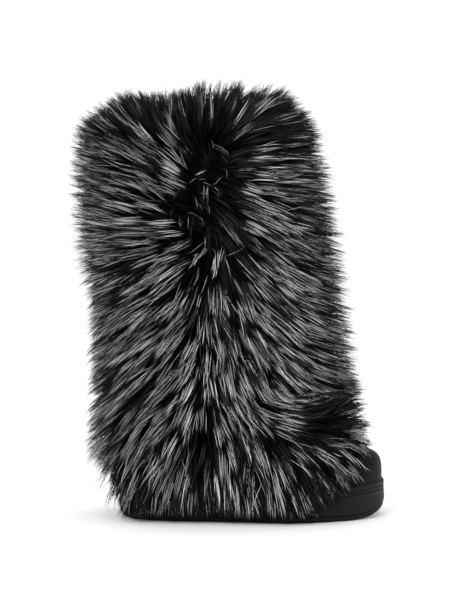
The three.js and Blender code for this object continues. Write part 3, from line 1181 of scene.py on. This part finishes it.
    def lead(self) -> tuple[Strands, Array, Array]:
        """Grows the lines that lead the locks, gathered in tufts.

        Returns:
            The lines, how far each may pass the outline in metres, and which lie any way.
        """
        tufts = self.strands(self.tufts, self.tuft_wander)
        lines = self.strands(self.locks, self.lock_wander)
        tuft = lines.nearest(tufts)
        n = len(tuft)
        own = np.random.default_rng(self.seed + 1)
        loose = self.loosen(lines, self.loose_locks, self.loose_lock_curl, own)
        lines.length[loose] *= own.uniform(*self.loose_lock_length, n)[loose]
        lines.stand[loose] *= self.loose_lock_stand
        self.grow(lines)
        hold = self.rng.uniform(*self.tuft_hold_within, n) * self.tuft_hold * ~loose
        lines.gather(tufts, tuft, hold)
        ragged = self.rng.uniform(*self.ragged, n) * MM
        self.trim(lines, ragged)
        return lines, ragged, loose

    def long_hair(self, lines: Strands, ragged: Array, unruly: Array) -> Coat:
        """Grows the long banded hair along its locks.

        Args:
            lines: the lines that lead the locks.
            ragged: how far each may pass the outline, in metres.
            unruly: whether each lies any way.

        Returns:
            The hair.
        """
        rng = self.rng
        hairs = self.strands(self.hairs, self.hair_wander)
        lock = hairs.nearest(lines)
        n = len(lock)
        stray = rng.random(n) < self.strays
        strayed = np.radians(rng.normal(0, self.stray_wander, n))
        hairs.turned += lines.turned[lock] + np.where(stray, strayed, 0)
        hairs.curl += lines.curl[lock]
        hairs.stand = lines.stand[lock] * rng.uniform(*self.hair_stand, n)
        hairs.length = lines.length[lock] * rng.uniform(*self.hair_length, n)
        hairs.length[stray] *= self.stray_length
        wisp = self.loosen(hairs, self.wisps, self.wisp_curl, rng)
        hairs.length[wisp] *= self.wisp_length
        hairs.stand[wisp] *= self.wisp_stand
        self.grow(hairs)
        loose = stray | wisp
        hold = np.where(loose, self.loose_hold, rng.uniform(*self.lock_hold_within, n) * self.lock_hold)
        hairs.gather(lines, lock, hold)
        self.clear_sole(hairs)
        further = rng.uniform(*self.hair_ragged, n) + np.where(stray, rng.uniform(*self.stray_ragged, n), 0)
        self.trim(hairs, ragged[lock] + further * MM)

        count = len(lines.roots)
        pale = (rng.random(count) < self.paleness(lines.roots)) | unruly
        bright = np.where(pale, rng.uniform(*self.pale_tone, count), rng.uniform(*self.black_tone, count))
        bright[unruly] *= self.loose_lock_tone
        dull = rng.random(n) < self.dull_hairs
        streak = np.where(dull, rng.uniform(*self.dull_tone, n), rng.uniform(*self.bright_tone, n))
        tone = np.where(wisp, self.wisp_tone, np.clip(bright[lock] * streak, 0.0, self.palest))
        shift = rng.normal(0, self.hair_shift, n) + rng.normal(0, self.lock_shift, count)[lock]
        radius = self.hair_radius * MM * rng.uniform(*self.thickness, n)
        radius[loose] *= self.loose_thickness
        return Coat(hairs.placed(self.rings_at), radius, tone, shift, self.rings_at)

    def short_hair(self) -> Coat:
        """Grows the short black hair, which closes the gaps between the locks.

        Returns:
            The hair.
        """
        under = self.strands(self.down, self.lock_wander)
        n = len(under.length)
        edge = 1 + self.down_edge_length * under.upright[:, 0] ** 2
        under.length *= self.down_share * edge * self.rng.uniform(*self.down_length, n)
        self.grow(under)
        self.clear_sole(under)
        self.trim(under, self.rng.uniform(*self.down_ragged, n) * MM)
        none = np.zeros(n)
        points = under.placed(self.down_rings_at)
        return Coat(points, none + self.down_radius * MM, none, none, self.down_rings_at)

    def build(self) -> list[Object]:
        """Grows the hair, divides it over pieces round the leg, and dresses it.

        Returns:
            The pieces.
        """
        long_hair = self.long_hair(*self.lead())
        short_hair = self.short_hair()
        material = self.finish.material()
        middle = (self.parting - self.heel_setback) * MM
        coat = long_hair.divided(Side, middle, material)
        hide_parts("pelt_back")
        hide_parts("pelt_front")
        return coat + short_hair.divided(Under, middle, material)


@dataclass(frozen=True)
class Softbox:
    """A square light that faces the boot: its place and its side in metres, and its power in watts."""

    name: str
    place: tuple[float, float, float]
    side: float
    power: float


@dataclass
class Studio:
    """The pale floor, soft light and the camera."""

    floor_size: float = 9000.0
    distance: float = 2200.0
    elevation: float = 5.5
    mm_per_pixel: float = 1.016
    height_pixels: float = 600.0
    aim_x: float = 64.6
    aim_z: float = 221.2
    sensor: float = 24.0
    surround: float = 1.12  # the strength of the white light all round
    softboxes: tuple[Softbox, ...] = (
        Softbox("key", (-0.9, -1.9, 1.6), 1.2, 18),
        Softbox("toe_side", (1.7, 0.2, 0.5), 1.0, 12),
        Softbox("heel_side", (-1.7, 0.3, 0.8), 1.0, 5),
    )

    def floor(self) -> None:
        """Lays the floor."""
        bm = bmesh.new()
        bmesh.ops.create_grid(bm, x_segments=1, y_segments=1, size=self.floor_size * MM / 2)
        mesh = bpy.data.meshes.new("floor")
        bm.to_mesh(mesh)
        bm.free()
        mesh.materials.append(Paper().material())
        added("floor", mesh)

    def hang(self, softbox: Softbox) -> None:
        """Hangs one softbox.

        Args:
            softbox: the light.
        """
        light = bpy.data.lights.new(softbox.name, "AREA")
        light.shape = "SQUARE"
        light.size = softbox.side
        light.energy = softbox.power
        lamp = added(softbox.name, light)
        lamp.location = softbox.place
        target = Vector((self.aim_x * MM, 0, self.aim_z * MM))
        lamp.rotation_euler = (target - Vector(softbox.place)).to_track_quat("-Z", "Y").to_euler()

    def light(self) -> None:
        """Sets a bright even surround and the softboxes."""
        world = bpy.data.worlds.new("surround")
        world.use_nodes = True
        background = world.node_tree.nodes["Background"]
        background.inputs["Color"].default_value = linear("#ffffff")
        background.inputs["Strength"].default_value = self.surround
        bpy.context.scene.world = world
        for softbox in self.softboxes:
            self.hang(softbox)

    def shoot(self) -> None:
        """Places the camera at the photograph's angle, level with the shaft and slightly above the sole."""
        data = bpy.data.cameras.new("camera")
        data.sensor_fit = "VERTICAL"
        data.sensor_height = self.sensor
        data.lens = self.sensor * self.distance / (self.mm_per_pixel * self.height_pixels)
        data.clip_end = 50
        camera = added("camera", data)
        target = Vector((self.aim_x, 0, self.aim_z)) * MM
        lift = math.radians(self.elevation)
        back = Vector((0, -math.cos(lift), math.sin(lift))) * self.distance * MM
        camera.location = target + back
        camera.rotation_euler = (-back).to_track_quat("-Z", "Y").to_euler()
        bpy.context.scene.camera = camera

    def build(self) -> None:
        """Sets up the whole studio."""
        self.floor()
        self.light()
        self.shoot()
        settings = bpy.context.scene.view_settings
        settings.view_transform = "Standard"
        settings.look = "None"


def main() -> None:
    """Builds the boot's pieces in order and reports each of them."""
    logging.basicConfig(level=logging.INFO, format="%(message)s")
    Studio().build()
    for part in (Sole(), Upper(), Fur()):
        for piece in part.build():
            faces = piece.data.polygons
            count = len(piece.data.loops) - 2 * len(faces)
            log.info("%s: %s, %d triangles", type(part).__name__, piece.name, count)


if __name__ == "__main__":
    main()
